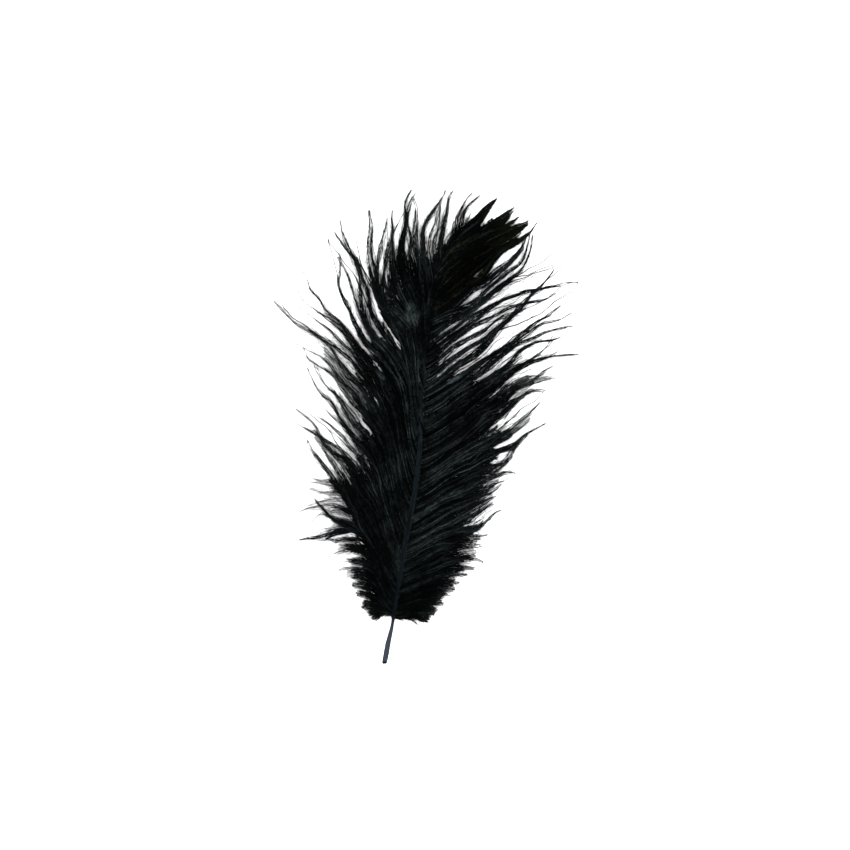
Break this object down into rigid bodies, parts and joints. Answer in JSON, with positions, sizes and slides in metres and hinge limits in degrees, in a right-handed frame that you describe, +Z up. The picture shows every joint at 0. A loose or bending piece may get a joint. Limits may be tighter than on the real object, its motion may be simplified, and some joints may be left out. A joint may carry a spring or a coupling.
{
  "type": "ostrich feather",
  "caption": "Dyed black ostrich plume lying flat, with a bare cut quill, a curved shaft and two loose vanes of long barbs.",
  "frame": {"origin": "on the surface the feather lies on, below the middle of its outline", "axes": "+Y along the feather towards its tip, +X across it, +Z up from the surface"},
  "size_m": [0.128, 0.2, 0.0101],
  "materials": {
    "shaft_keratin": "satin",
    "barbs": "matte"
  },
  "bodies": {
    "root": {"shaft": "shaft_keratin", "left_vane": "barbs", "right_vane": "barbs"}
  },
  "joints": []
}
